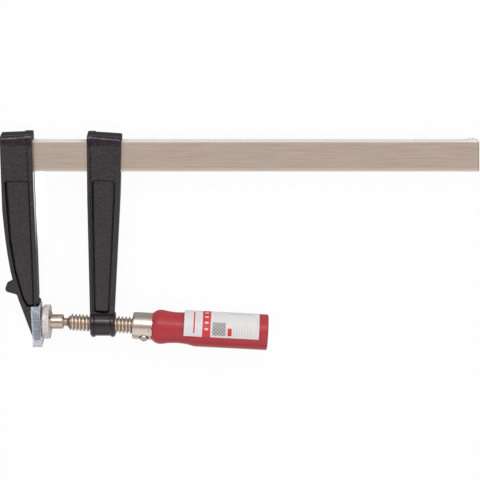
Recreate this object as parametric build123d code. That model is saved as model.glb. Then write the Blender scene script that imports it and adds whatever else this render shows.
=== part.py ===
from build123d import *
import os
from math import cos, radians, sin, tan

# Bar clamp (F-clamp) lying on its side. Millimetres.
# Frame: +X along the bar from the fixed arm to the open end, +Y from the spindle to the bar,
# +Z up through the thickness. The origin is the centre of the fixed jaw's contact face.

# Bar
BAR_WIDTH = 26.0
BAR_THICKNESS = 6.0
BAR_LENGTH = 380.6
BAR_START_X = -24.8
BAR_CENTRE_Y = 148.0
TOOTH_PITCH = 1.8
TOOTH_DEPTH = 0.5
TEETH_START_X = 4.0
END_BEVEL = 0.8
END_SKEW = 1.7

# End stop, two lumps punched up from the bar's edge
STOP_X = 350.1
STOP_HEIGHT = 1.2
STOP_WIDTH = 5.0
LUMP_SPACING = 3.4
SMALL_LUMP_RADIUS = 1.1
LARGE_LUMP_RADIUS = 1.6

# Cast arms: I-section, thinner towards the jaw end, with a raised lip on the working side
COLLAR_HALF_THICKNESS = 7.2
JAW_HALF_THICKNESS = 5.2
COLLAR_BOTTOM_Y = 129.5
LIP_RISE = 0.6
LIP_STEP = 0.3
LIP_HEAD_WIDTH = 6.2
LIP_HEAD_DEPTH = 3.0
LIP_EDGE_RADIUS = 0.8
CAST_EDGE_RADIUS = 1.4
TOP_EDGE_RADIUS = 2.4
GROOVE_WIDTH = 1.1
GROOVE_DEPTH = 0.9

# Recesses in the arms: a trench all round and a panel standing in it
TRENCH_FLOOR = 2.2
TRENCH_WIDTH = 1.1
PANEL_FACE = 3.9
POCKET_DRAFT = 8.0

# Fixed arm
FIXED_TOP_Y = 167.1
FIXED_TOP_FALL = 1.1
FIXED_OUTER_X = -24.1
FIXED_WAIST = (-26.0, 102.0)
FIXED_HIP = (-23.8, 58.0)
FIXED_CALF = (-18.0, 23.0)
CALF_DIRECTION = (-0.26, 0.96)
WAIST_DIRECTION = (-0.02, 1.0)
FIXED_TOE_X = -7.9
FIXED_INNER_TOP_X = 1.5
FIXED_INNER_BOTTOM_X = -1.4
FIXED_FLANGE = 4.0
FIXED_LIP_WIDTH = 3.7
FIXED_LIP_HEAD_Y = 167.35
LIP_END_Y = 22.4
FLARE_END_Y = 18.7
FLARE_RADIUS = 4.5
FOOT_LEDGE_X = -3.0
SPUR_Y = 32.0
SPUR_TIP_X = -28.1
SPUR_TIP_HALF_WIDTH = 2.0
SPUR_ROOT_X = -17.5
SPUR_ROOT_BELOW = 5.3
SPUR_ROOT_ABOVE = 7.6
SPUR_REACH = 11.0
SPUR_TIP_RADIUS = 2.8
SPUR_ROOT_RADIUS = 2.0
FIXED_POCKET_TOP_Y = 128.3
FIXED_POCKET_BOTTOM_Y = 16.5
FIXED_POCKET_RADIUS = 2.0
FIXED_POCKET_BACK = ((-10.8, 16.5), (-14.0, 23.5), (-18.9, 48.0), (-21.4, 76.0))

# Foot of the fixed arm, an arched plate that the cap fits over
FOOT_HALF_WIDTH = 7.3
FOOT_ARCH_Y = 10.3
FOOT_BOTTOM_Y = -13.6
FOOT_THICKNESS = 5.4
CAP_FACE_THICKNESS = 1.2
CAP_WALL = 1.0
CAP_BOTTOM_Y = -20.3
CAP_LIP = 1.0
CAP_CORNER_RADIUS = 1.5
CAP_RIB_HEIGHT = 0.35
CAP_RIB_WIDTH = 1.1
CAP_RIB_PITCH = 8.0
CAP_RIB_COUNT = 3
CAP_TOP_RIB_Y = 13.1
ARM_GAP = 0.4

# Spindle axis: leans because the sliding arm rocks on the bar
LEAN = 3.3
BALL_X = 13.4
BALL_RADIUS = 4.2
NECK_RADIUS = 3.2
NECK_END = 8.0
THREAD_RADIUS = 7.0
THREAD_START = 11.0
FERRULE_START = 62.6
FERRULE_LENGTH = 16.6
FERRULE_RADIUS = 11.35
FERRULE_FRONT = 3.0
FERRULE_EDGE = 1.5
NOSE_RADIUS = 9.6
TANG_RADIUS = 5.0
TANG_END = 145.0

# Swivel pad, round the same ball
PAD_GAP = 1.2
PAD_CAP_RADIUS = 14.3
PAD_CAP_FACE = 0.9
PAD_CAP_END_X = 7.0
PAD_CAP_EDGE = 2.0
PAD_CAP_LIP = 1.0
DISC_RADIUS = 13.3
DISC_RIM = 2.4
DISC_CONE_RADIUS = 11.6
CONE_END = (8.2, 8.0)
HUB_RADIUS = 6.1
HUB_END_X = 18.1
HUB_EDGE = 0.7
HUB_MOUTH_RADIUS = 4.35
SOCKET_RADIUS = 4.5
SOCKET_DEPTH = 4.3
RING_INNER_RADIUS = 3.85
RING_OUTER_RADIUS = 4.95
RING_WIDTH = 1.2
RING_SPLIT = 1.5
RING_OFFSET = 3.0
RING_GROOVE_RADIUS = 5.45
RING_GROOVE_HALF_WIDTH = 1.15

# Sliding arm, drawn in its own frame: X along the spindle, Y away from it, origin mid-boss
BOSS_OFFSET = 37.9
BOSS_HALF_LENGTH = 10.3
BOSS_RADIUS = 10.0
BOSS_COLLAR_RADIUS = 11.0
BOSS_COLLAR_LENGTH = 4.4
BOSS_COLLAR_EDGE = 1.3
BORE_CLEARANCE = 0.3
BORE_LEAD = 0.8
SLIDING_TOP_Y = 168.4
SLIDING_TOP_FALL = 0.3
SLIDING_LIP_RISE = 0.35
SLIDING_LEFT_X = -16.0
SLIDING_RIGHT_X = 11.4
SLIDING_SHOULDER_Y = 115.0
SLIDING_SHOULDER_LEFT_X = -14.7
SLIDING_SHOULDER_RIGHT_X = 11.4
SLIDING_FOOT_LEFT_X = -10.8
SLIDING_FOOT_RIGHT_X = 9.2
SLIDING_FOOT_Y = 6.0
SLIDING_LIP_END_Y = 9.0
SLIDING_LIP_WIDTH = 2.5
SLIDING_FLANGE = 4.2
SLIDING_POCKET_TOP_Y = 131.2
SLIDING_POCKET_BOTTOM_Y = 13.0
SLIDING_POCKET_RADIUS = 3.2
SLOT_CLEARANCE = 0.35

# Handle, measured along the spindle from the ball
HANDLE_END = 176.1
HANDLE_RADIUS = 15.0
HANDLE_EDGE = 1.2
SHOULDER_RADIUS = 11.0
BULGE_AT = 86.0
BULGE_RADIUS = 14.4
BULGE_RISE_ARC = 8.5
BULGE_FALL_ARC = 16.8
WAIST_START = (89.4, 14.05)
WAIST_ARC = 54.0
COVE_END = 115.1
LABEL_START = 105.8
LABEL_END = 168.4
LABEL_THICKNESS = 0.15
LABEL_FIRST_ANGLE = 1.2
LABEL_LAST_ANGLE = 190.0

# Cross pin through ferrule, handle and tang: a domed head in front, flush behind
PIN_AT = 72.7
PIN_ANGLE = 36.6
PIN_SHANK_RADIUS = 2.4
PIN_HEAD_RADIUS = 3.3
PIN_SEAT = 9.0
PIN_FLUSH = 10.8
PIN_RISE = 2.7
PIN_DOME = 2.2
PIN_SINK_RADIUS = 4.2
PIN_SINK_DEPTH = 0.7

# How many chords stand for an arc: few, so that the meshes stay light
BACK_CHORDS = 6
BALL_CHORDS = 6
RISE_CHORDS = 3
FALL_CHORDS = 1
COVE_CHORDS = 5
EDGE_CHORDS = 2
DOME_CHORDS = 3

# Longer than the casting is thick, for cuts that pass right through it
LONG = 60.0

SPINDLE_PLACE = Location((BALL_X, 0, 0), (0, 0, -LEAN))
BOSS_CENTRE = (BALL_X + BOSS_OFFSET * cos(radians(LEAN)), -BOSS_OFFSET * sin(radians(LEAN)))
SLIDING_PLACE = Location((BOSS_CENTRE[0], BOSS_CENTRE[1], 0), (0, 0, -LEAN))


def outline(*points, radius=0.0):
    """A closed straight-sided outline, with every corner rounded if a radius is given."""
    face = make_face(Polyline(*points, close=True))
    if radius:
        return fillet(face.vertices(), radius)
    return face


def chords(arc, count):
    """A few chords along an arc, which keep a turned or cast edge light to mesh."""
    return Polyline(*[arc @ (i / count) for i in range(count + 1)])


def arc_chords(start, end, radius, count):
    """The chords of the arc from start to end."""
    return chords(RadiusArc(start, end, radius, mode=Mode.PRIVATE), count)


def thickness_wedge(rise=0.0):
    """The casting's thickness seen along X: full at the collar, thinner towards the jaw."""
    top = 200.0
    bottom = -40.0
    slope = (COLLAR_HALF_THICKNESS - JAW_HALF_THICKNESS) / COLLAR_BOTTOM_Y
    at_bottom = JAW_HALF_THICKNESS + slope * bottom + rise
    at_collar = COLLAR_HALF_THICKNESS + rise
    profile = [
        (bottom, -at_bottom),
        (COLLAR_BOTTOM_Y, -at_collar),
        (top, -at_collar),
        (top, at_collar),
        (COLLAR_BOTTOM_Y, at_collar),
        (bottom, at_bottom),
    ]
    return extrude(Plane.YZ * outline(*profile), LONG, both=True)


def cast_plate(face, rise=0.0, radius=CAST_EDGE_RADIUS):
    """A flat casting of the given outline: its front and back edges are round, most so at the top."""
    plate = extrude(face, LONG, both=True) & thickness_wedge(rise)
    top_face = plate.faces().sort_by(Axis.Y)[-1]
    plate = fillet(top_face.edges() - top_face.edges().filter_by(Axis.Z), TOP_EDGE_RADIUS)
    top_y = face.bounding_box().max.Y - 2 * TOP_EDGE_RADIUS
    finished = plate.edges().filter_by(lambda e: e.center().Y > top_y)
    crease = plate.edges().filter_by(lambda e: all(abs(v.Y - COLLAR_BOTTOM_Y) < 0.01 for v in e.vertices()))
    upright = plate.edges().filter_by(Axis.Z)
    return fillet(plate.edges() - finished - crease - upright, radius)


def pockets(face):
    """The drafted recesses on both sides, each with its panel left standing."""
    cut = extrude(Pos(0, 0, TRENCH_FLOOR) * face, LONG, taper=-POCKET_DRAFT)
    panel = extrude(Pos(0, 0, TRENCH_FLOOR) * offset(face, -TRENCH_WIDTH), PANEL_FACE - TRENCH_FLOOR)
    upper = cut - panel
    return upper + mirror(upper, about=Plane.XY)


def surface_groove(face):
    """A shallow groove of the given outline in both sides of a casting."""
    return extrude(face, LONG, both=True) - thickness_wedge(-GROOVE_DEPTH)


def inner_x(y):
    """The fixed arm's inner face, which leans slightly."""
    share = (y - LIP_END_Y) / (FIXED_TOP_Y - LIP_END_Y)
    return FIXED_INNER_BOTTOM_X + share * (FIXED_INNER_TOP_X - FIXED_INNER_BOTTOM_X)


def make_bar():
    """Flat bar, both edges serrated between the arms' seat and the staked end stop."""
    left = BAR_START_X
    right = BAR_START_X + BAR_LENGTH
    bottom = BAR_CENTRE_Y - BAR_WIDTH / 2
    top = BAR_CENTRE_Y + BAR_WIDTH / 2
    last_tooth = STOP_X - LUMP_SPACING - SMALL_LUMP_RADIUS
    count = int((last_tooth - TEETH_START_X) / TOOTH_PITCH)

    def serrations(y, inward):
        points = []
        for i in range(count):
            x = TEETH_START_X + i * TOOTH_PITCH
            points.append((x, y))
            points.append((x + TOOTH_PITCH / 2, y + inward * TOOTH_DEPTH))
        points.append((TEETH_START_X + count * TOOTH_PITCH, y))
        return points

    edge = [(left, bottom)] + serrations(bottom, 1)
    edge += [(right + END_SKEW, bottom), (right, top)]
    edge += serrations(top, -1)[::-1] + [(left, top)]
    bar = extrude(outline(*edge), BAR_THICKNESS / 2, both=True)
    end_edges = bar.faces().sort_by(Axis.X)[-1].edges()
    bar = chamfer(end_edges, END_BEVEL)
    small = stop_lump(STOP_X - LUMP_SPACING / 2, top, SMALL_LUMP_RADIUS)
    large = stop_lump(STOP_X + LUMP_SPACING / 2, top, LARGE_LUMP_RADIUS)
    return bar + small + large


def stop_lump(x, edge_y, radius):
    """A round-crowned lump that stands on the bar's edge."""
    crown_y = edge_y + STOP_HEIGHT - radius
    crown = Pos(x, crown_y, 0) * Cylinder(radius, STOP_WIDTH)
    root = Pos(x, crown_y - radius / 2, 0) * Box(2 * radius, radius, STOP_WIDTH)
    return crown + root


def fixed_arm_outline():
    """Side view of the fixed arm, with the spur on its back."""
    flare_start = (inner_x(LIP_END_Y) - LIP_STEP, LIP_END_Y)
    flare_end = (0, FLARE_END_Y)
    with BuildSketch() as side:
        with BuildLine():
            Polyline(
                FIXED_WAIST,
                (FIXED_OUTER_X, FIXED_TOP_Y - FIXED_TOP_FALL),
                (inner_x(FIXED_TOP_Y) - LIP_STEP, FIXED_TOP_Y),
                flare_start,
            )
            RadiusArc(flare_start, flare_end, -FLARE_RADIUS)
            Polyline(
                flare_end,
                (FOOT_LEDGE_X, FLARE_END_Y),
                (FOOT_LEDGE_X, FOOT_BOTTOM_Y),
                (FIXED_TOE_X, FOOT_BOTTOM_Y),
                FIXED_CALF,
            )
            back = Spline(
                FIXED_CALF,
                FIXED_HIP,
                FIXED_WAIST,
                tangents=(CALF_DIRECTION, WAIST_DIRECTION),
                mode=Mode.PRIVATE,
            )
            chords(back, BACK_CHORDS)
        make_face()
    outer = side.sketch + spur_outline()
    near_spur = outer.vertices().filter_by(lambda v: abs(v.Y - SPUR_Y) < SPUR_REACH)
    roots = near_spur.filter_by(lambda v: SPUR_TIP_X / 2 > v.X > SPUR_TIP_X + SPUR_REACH / 2)
    roots = roots.sort_by(lambda v: abs(v.Y - SPUR_Y))
    return fillet(roots[:2], SPUR_ROOT_RADIUS)


def spur_outline():
    """The short spur on the arm's back, rounded at its tip."""
    spur = outline(
        (SPUR_TIP_X, SPUR_Y + SPUR_TIP_HALF_WIDTH),
        (SPUR_TIP_X, SPUR_Y - SPUR_TIP_HALF_WIDTH),
        (SPUR_ROOT_X, SPUR_Y - SPUR_ROOT_BELOW),
        (SPUR_ROOT_X, SPUR_Y + SPUR_ROOT_ABOVE),
    )
    return fillet(spur.vertices().group_by(Axis.X)[0], SPUR_TIP_RADIUS)


def fixed_pocket():
    """The recess follows the arm's back and stops above the foot."""
    top = FIXED_POCKET_TOP_Y
    bottom = FIXED_POCKET_BOTTOM_Y
    left = FIXED_WAIST[0] + FIXED_FLANGE
    return outline(
        (left, top),
        (inner_x(top) - FIXED_LIP_WIDTH, top),
        (inner_x(bottom) - FIXED_LIP_WIDTH, bottom),
        *FIXED_POCKET_BACK,
        radius=FIXED_POCKET_RADIUS,
    )


def foot():
    """The arched plate at the end of the fixed arm."""
    return arch_prism(FOOT_HALF_WIDTH, FOOT_BOTTOM_Y, -CAP_FACE_THICKNESS - FOOT_THICKNESS, -CAP_FACE_THICKNESS)


def arch_prism(half_width, bottom, start_x, end_x):
    """A prism along X with an arched top, round the foot's centre line."""
    height = FOOT_ARCH_Y - bottom
    face = Pos(bottom + height / 2, 0) * Rectangle(height, 2 * half_width)
    face += Pos(FOOT_ARCH_Y, 0) * Circle(half_width)
    return extrude(Plane.YZ.offset(start_x) * face, end_x - start_x)


def make_fixed_arm():
    """Cast arm pressed on the end of the bar: collar, I-section, spur and foot."""
    arm = cast_plate(fixed_arm_outline()) - pockets(fixed_pocket())
    arm -= surface_groove(fixed_lip_line(GROOVE_WIDTH, FIXED_POCKET_TOP_Y))
    arm += cast_plate(fixed_lip(), rise=LIP_RISE, radius=LIP_EDGE_RADIUS)
    arm += foot()
    bar_seat = Pos(BAR_START_X + BAR_LENGTH / 2, BAR_CENTRE_Y, 0) * Box(
        BAR_LENGTH, BAR_WIDTH, BAR_THICKNESS
    )
    return arm - bar_seat


def fixed_lip():
    """Outline of the raised lip along the inner face, wider at its head."""
    head_end = FIXED_LIP_HEAD_Y - LIP_HEAD_DEPTH
    return outline(
        (inner_x(FIXED_LIP_HEAD_Y), FIXED_LIP_HEAD_Y),
        (inner_x(LIP_END_Y), LIP_END_Y),
        (inner_x(LIP_END_Y) - FIXED_LIP_WIDTH + LIP_RISE, LIP_END_Y),
        (inner_x(head_end) - FIXED_LIP_WIDTH, head_end),
        (inner_x(FIXED_LIP_HEAD_Y) - LIP_HEAD_WIDTH, FIXED_LIP_HEAD_Y),
    )


def fixed_lip_line(width, bottom):
    """Outline of the groove that parts the lip from the collar's face."""
    top = FIXED_TOP_Y - LIP_HEAD_DEPTH
    return outline(
        (inner_x(top) - FIXED_LIP_WIDTH, top),
        (inner_x(bottom) - FIXED_LIP_WIDTH, bottom),
        (inner_x(bottom) - FIXED_LIP_WIDTH - width, bottom),
        (inner_x(top) - FIXED_LIP_WIDTH - width, top),
    )


def make_fixed_jaw_cap():
    """Soft translucent cap that snaps over the foot, open at the back for the arm."""
    back = -CAP_FACE_THICKNESS - FOOT_THICKNESS - CAP_LIP
    outer_half = FOOT_HALF_WIDTH + CAP_WALL
    cap = arch_prism(outer_half, CAP_BOTTOM_Y, back, 0)
    corners = cap.edges().filter_by(Axis.X).group_by(Axis.Y)[0]
    cap = fillet(corners, CAP_CORNER_RADIUS)
    for i in range(CAP_RIB_COUNT):
        rib = Pos(back / 2, CAP_TOP_RIB_Y - i * CAP_RIB_PITCH, 0) * Box(
            -back, CAP_RIB_WIDTH, 2 * (outer_half + CAP_RIB_HEIGHT)
        )
        cap += rib
    cap -= arch_prism(FOOT_HALF_WIDTH, CAP_BOTTOM_Y + CAP_WALL, back + CAP_LIP, -CAP_FACE_THICKNESS)
    cap -= arch_prism(FOOT_HALF_WIDTH - CAP_LIP, CAP_BOTTOM_Y + 2 * CAP_WALL, back, back + CAP_LIP)
    way_height = 20.0
    arm_way = Pos((back - CAP_FACE_THICKNESS) / 2, FOOT_ARCH_Y + way_height / 2, 0) * Box(
        -back - CAP_FACE_THICKNESS, way_height, 2 * (JAW_HALF_THICKNESS + ARM_GAP)
    )
    return cap - arm_way


def make_sliding_arm():
    """Cast arm that slides on the bar and carries the threaded boss."""
    body_face = outline(
        (SLIDING_LEFT_X + LIP_STEP, SLIDING_TOP_Y),
        (SLIDING_RIGHT_X, SLIDING_TOP_Y - SLIDING_TOP_FALL),
        (SLIDING_SHOULDER_RIGHT_X, SLIDING_SHOULDER_Y),
        (SLIDING_FOOT_RIGHT_X, SLIDING_FOOT_Y),
        (SLIDING_FOOT_LEFT_X + LIP_STEP, SLIDING_FOOT_Y),
        (SLIDING_SHOULDER_LEFT_X + LIP_STEP, SLIDING_SHOULDER_Y),
    )
    top = SLIDING_POCKET_TOP_Y
    bottom = SLIDING_POCKET_BOTTOM_Y
    beside_lip = SLIDING_LIP_WIDTH + GROOVE_WIDTH
    pocket_face = outline(
        (SLIDING_SHOULDER_LEFT_X + beside_lip, top),
        (SLIDING_SHOULDER_RIGHT_X - SLIDING_FLANGE, top),
        (SLIDING_FOOT_RIGHT_X - SLIDING_FLANGE, bottom),
        (SLIDING_FOOT_LEFT_X + beside_lip, bottom),
        radius=SLIDING_POCKET_RADIUS,
    )
    arm = cast_plate(body_face) - pockets(pocket_face)
    arm -= surface_groove(sliding_strip(SLIDING_LIP_WIDTH, GROOVE_WIDTH, SLIDING_POCKET_BOTTOM_Y))
    arm += cast_plate(sliding_lip(), rise=LIP_RISE, radius=LIP_EDGE_RADIUS)
    arm += boss()
    arm -= boss_bore()
    arm -= bar_slot()
    return SLIDING_PLACE * arm


def sliding_strip(start, width, bottom):
    """A strip beside the edge that faces the work, up to the lip's head."""
    top = SLIDING_TOP_Y - LIP_HEAD_DEPTH
    return outline(
        (SLIDING_LEFT_X + start, top),
        (SLIDING_LEFT_X + start + width, top),
        (SLIDING_SHOULDER_LEFT_X + start + width, SLIDING_SHOULDER_Y),
        (SLIDING_FOOT_LEFT_X + start + width, bottom),
        (SLIDING_FOOT_LEFT_X + start, bottom),
        (SLIDING_SHOULDER_LEFT_X + start, SLIDING_SHOULDER_Y),
    )


def sliding_lip():
    """Outline of the raised lip along the edge that faces the work, wider at its head."""
    width = SLIDING_LIP_WIDTH
    return outline(
        (SLIDING_LEFT_X, SLIDING_TOP_Y),
        (SLIDING_LEFT_X + LIP_HEAD_WIDTH, SLIDING_TOP_Y + SLIDING_LIP_RISE),
        (SLIDING_LEFT_X + width, SLIDING_TOP_Y - LIP_HEAD_DEPTH),
        (SLIDING_SHOULDER_LEFT_X + width, SLIDING_SHOULDER_Y),
        (SLIDING_FOOT_LEFT_X + width, SLIDING_LIP_END_Y),
        (SLIDING_FOOT_LEFT_X, SLIDING_LIP_END_Y),
        (SLIDING_SHOULDER_LEFT_X, SLIDING_SHOULDER_Y),
    )


def boss():
    """Barrel with a thicker collar at each end, cast square to the bar."""
    half = BOSS_HALF_LENGTH
    barrel = Rot(0, 90, 0) * Cylinder(BOSS_RADIUS, 2 * half - BOSS_COLLAR_LENGTH)
    collar = Rot(0, 90, 0) * chamfer(Cylinder(BOSS_COLLAR_RADIUS, BOSS_COLLAR_LENGTH).edges(), BOSS_COLLAR_EDGE)
    shift = half - BOSS_COLLAR_LENGTH / 2
    return Rot(0, 0, LEAN) * (barrel + Pos(shift, 0, 0) * collar + Pos(-shift, 0, 0) * collar)


def boss_bore():
    """The hole for the spindle, with a lead-in at both ends."""
    radius = THREAD_RADIUS + BORE_CLEARANCE
    half = BOSS_HALF_LENGTH
    bore = Rot(0, 90, 0) * Cylinder(radius, 3 * half)
    for side in (-1, 1):
        tilt = Rot(0, 90 * side, 0)
        bore += Pos(side * (half - BORE_LEAD / 2), 0, 0) * tilt * Cone(radius, radius + BORE_LEAD, BORE_LEAD)
    return bore


def bar_slot():
    """The collar's slot: taller than the bar, so that the arm can rock and grip."""
    length = SLIDING_RIGHT_X - SLIDING_LEFT_X
    middle_x = (SLIDING_RIGHT_X + SLIDING_LEFT_X) / 2
    lean = radians(LEAN)
    bar_y = (BAR_CENTRE_Y - BOSS_CENTRE[1]) / cos(lean) + middle_x * tan(lean)
    height = BAR_WIDTH / cos(lean) + length * tan(lean) + 2 * SLOT_CLEARANCE
    return Pos(middle_x, bar_y, 0) * Box(2 * length, height, BAR_THICKNESS + 2 * SLOT_CLEARANCE)


def make_spindle():
    """Screw: ball, neck, threaded length and the plain tang inside the handle."""
    neck_root = (BALL_RADIUS**2 - NECK_RADIUS**2) ** 0.5
    with BuildSketch() as half:
        with BuildLine():
            Polyline(
                (neck_root, NECK_RADIUS),
                (NECK_END, NECK_RADIUS),
                (THREAD_START, THREAD_RADIUS),
                (FERRULE_START + FERRULE_FRONT, THREAD_RADIUS),
                (FERRULE_START + FERRULE_FRONT, TANG_RADIUS),
                (TANG_END, TANG_RADIUS),
                (TANG_END, 0),
                (-BALL_RADIUS, 0),
            )
            ball = ThreePointArc(
                (-BALL_RADIUS, 0), (0, BALL_RADIUS), (neck_root, NECK_RADIUS), mode=Mode.PRIVATE
            )
            chords(ball, BALL_CHORDS)
        make_face()
    screw = revolve(half.sketch, Axis.X)
    return SPINDLE_PLACE * (screw - pin_hole(PIN_SHANK_RADIUS))


def pin_axis():
    """Places something drawn along Z on the cross pin's line, in the spindle's frame."""
    return Pos(PIN_AT, 0, 0) * Rot(PIN_ANGLE, 0, 0)


def pin_hole(radius):
    return pin_axis() * Cylinder(radius, 4 * FERRULE_RADIUS)


def make_swivel_pad():
    """Disc and hub turned in one piece; the hub holds the ball and the retaining ring."""
    face = PAD_GAP + PAD_CAP_FACE
    rim_end = face + DISC_RIM
    groove_start = BALL_X + RING_OFFSET - RING_GROOVE_HALF_WIDTH
    groove_end = BALL_X + RING_OFFSET + RING_GROOVE_HALF_WIDTH
    socket_floor = BALL_X - SOCKET_DEPTH
    profile = outline(
        (face, 0),
        (face, DISC_RADIUS),
        (rim_end, DISC_RADIUS),
        (rim_end, DISC_CONE_RADIUS),
        CONE_END,
        (CONE_END[0], HUB_RADIUS),
        (HUB_END_X - HUB_EDGE, HUB_RADIUS),
        (HUB_END_X, HUB_RADIUS - HUB_EDGE),
        (HUB_END_X, HUB_MOUTH_RADIUS),
        (groove_end, HUB_MOUTH_RADIUS),
        (groove_end, RING_GROOVE_RADIUS),
        (groove_start, RING_GROOVE_RADIUS),
        (groove_start, SOCKET_RADIUS),
        (socket_floor, SOCKET_RADIUS),
        (socket_floor, 0),
    )
    return revolve(profile, Axis.X)


def make_swivel_pad_cap():
    """Soft round cap snapped over the disc."""
    start = PAD_GAP
    face = start + PAD_CAP_FACE
    rim_end = face + DISC_RIM
    edge_start = (start, PAD_CAP_RADIUS - PAD_CAP_EDGE)
    edge_end = (start + PAD_CAP_EDGE, PAD_CAP_RADIUS)
    with BuildSketch() as half:
        with BuildLine():
            Line((start, 0), edge_start)
            arc_chords(edge_start, edge_end, PAD_CAP_EDGE, EDGE_CHORDS)
            Polyline(
                edge_end,
                (PAD_CAP_END_X, PAD_CAP_RADIUS),
                (PAD_CAP_END_X, DISC_RADIUS - PAD_CAP_LIP),
                (rim_end, DISC_RADIUS - PAD_CAP_LIP),
                (rim_end, DISC_RADIUS),
                (face, DISC_RADIUS),
                (face, 0),
                (start, 0),
            )
        make_face()
    return revolve(half.sketch, Axis.X)


def make_pad_retaining_ring():
    """Split snap ring in the hub's groove, behind the ball and round the neck."""
    ring = Cylinder(RING_OUTER_RADIUS, RING_WIDTH) - Cylinder(RING_INNER_RADIUS, RING_WIDTH)
    ring -= Pos(RING_INNER_RADIUS, 0, 0) * Box(RING_OUTER_RADIUS, RING_SPLIT, RING_WIDTH)
    return Pos(BALL_X + RING_OFFSET, 0, 0) * Rot(0, 90, 0) * ring


def make_ferrule():
    """Steel cup over the handle's nose, pinned to the spindle."""
    start = FERRULE_START
    end = start + FERRULE_LENGTH
    edge_start = (start, FERRULE_RADIUS - FERRULE_EDGE)
    edge_end = (start + FERRULE_EDGE, FERRULE_RADIUS)
    with BuildSketch() as half:
        with BuildLine():
            Line((start, THREAD_RADIUS), edge_start)
            arc_chords(edge_start, edge_end, FERRULE_EDGE, EDGE_CHORDS)
            Polyline(
                edge_end,
                (end, FERRULE_RADIUS),
                (end, NOSE_RADIUS),
                (start + FERRULE_FRONT, NOSE_RADIUS),
                (start + FERRULE_FRONT, THREAD_RADIUS),
                (start, THREAD_RADIUS),
            )
        make_face()
    ferrule = revolve(half.sketch, Axis.X) - pin_hole(PIN_HEAD_RADIUS)
    sink_length = 10.0
    sink = Pos(0, 0, FERRULE_RADIUS - PIN_SINK_DEPTH + sink_length / 2) * Cylinder(PIN_SINK_RADIUS, sink_length)
    return SPINDLE_PLACE * (ferrule - pin_axis() * sink)


def make_cross_pin():
    """Shank with a domed head in front and one behind that is filed flush."""
    top = FERRULE_RADIUS + PIN_RISE
    edge = top - PIN_DOME
    dome_radius = (PIN_HEAD_RADIUS**2 + PIN_DOME**2) / (2 * PIN_DOME)
    with BuildSketch(Plane.XZ) as half:
        with BuildLine():
            arc_chords((0, top), (PIN_HEAD_RADIUS, edge), dome_radius, DOME_CHORDS)
            Polyline(
                (PIN_HEAD_RADIUS, edge),
                (PIN_HEAD_RADIUS, PIN_SEAT),
                (PIN_SHANK_RADIUS, PIN_SEAT),
                (PIN_SHANK_RADIUS, -PIN_SEAT),
                (PIN_HEAD_RADIUS, -PIN_SEAT),
                (PIN_HEAD_RADIUS, -PIN_FLUSH),
                (0, -PIN_FLUSH),
                (0, top),
            )
        make_face()
    pin = revolve(half.sketch, Axis.Z)
    return SPINDLE_PLACE * (pin_axis() * pin)


def make_handle():
    """Turned wooden grip: nose in the ferrule, bulge, waist and plain body."""
    nose_start = FERRULE_START + FERRULE_FRONT
    shoulder = FERRULE_START + FERRULE_LENGTH
    bulge = (BULGE_AT, BULGE_RADIUS)
    body_start = (COVE_END, HANDLE_RADIUS)
    edge_start = (HANDLE_END - HANDLE_EDGE, HANDLE_RADIUS)
    edge_end = (HANDLE_END, HANDLE_RADIUS - HANDLE_EDGE)
    with BuildSketch() as half:
        with BuildLine():
            Polyline(
                (nose_start, TANG_RADIUS),
                (nose_start, NOSE_RADIUS),
                (shoulder, NOSE_RADIUS),
                (shoulder, SHOULDER_RADIUS),
            )
            arc_chords((shoulder, SHOULDER_RADIUS), bulge, BULGE_RISE_ARC, RISE_CHORDS)
            arc_chords(bulge, WAIST_START, BULGE_FALL_ARC, FALL_CHORDS)
            arc_chords(WAIST_START, body_start, -WAIST_ARC, COVE_CHORDS)
            Line(body_start, edge_start)
            arc_chords(edge_start, edge_end, HANDLE_EDGE, EDGE_CHORDS)
            Polyline(edge_end, (HANDLE_END, 0), (TANG_END, 0), (TANG_END, TANG_RADIUS), (nose_start, TANG_RADIUS))
        make_face()
    handle = revolve(half.sketch, Axis.X) - pin_hole(PIN_SHANK_RADIUS)
    seat_length = 10.0
    seat = Pos(0, 0, PIN_SEAT + seat_length / 2) * Cylinder(PIN_HEAD_RADIUS, seat_length)
    for side in (0, 180):
        handle -= pin_axis() * Rot(side, 0, 0) * seat
    return SPINDLE_PLACE * handle


def make_label():
    """Paper label round the grip; its front end bridges the waist."""
    length = LABEL_END - LABEL_START
    band = Circle(HANDLE_RADIUS + LABEL_THICKNESS) - Circle(HANDLE_RADIUS)
    sleeve = extrude(Plane.YZ.offset(LABEL_START) * band, length)
    open_angle = 360 - (LABEL_LAST_ANGLE - LABEL_FIRST_ANGLE)
    reach = 3 * HANDLE_RADIUS
    steps = [LABEL_FIRST_ANGLE, LABEL_FIRST_ANGLE - open_angle / 2, LABEL_FIRST_ANGLE - open_angle]
    corners = [(reach * sin(radians(a)), reach * cos(radians(a))) for a in steps]
    wedge = extrude(Plane.YZ.offset(LABEL_START) * outline((0, 0), *corners), length)
    return SPINDLE_PLACE * (sleeve - wedge)


NODES = {
    "bar": make_bar,
    "fixed_arm": make_fixed_arm,
    "fixed_jaw_cap": make_fixed_jaw_cap,
    "sliding_arm": make_sliding_arm,
    "spindle": make_spindle,
    "swivel_pad": make_swivel_pad,
    "swivel_pad_cap": make_swivel_pad_cap,
    "pad_retaining_ring": make_pad_retaining_ring,
    "ferrule": make_ferrule,
    "cross_pin": make_cross_pin,
    "handle": make_handle,
    "label": make_label,
}


def main():
    os.makedirs("parts", exist_ok=True)
    for name, make in NODES.items():
        export_step(make(), f"parts/{name}.step")


main()
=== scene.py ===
from math import asin, atan2, cos, pi, radians, sin, sqrt

import bmesh
import bpy
from mathutils import Matrix, Vector
from mathutils import noise as shape_noise


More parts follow.
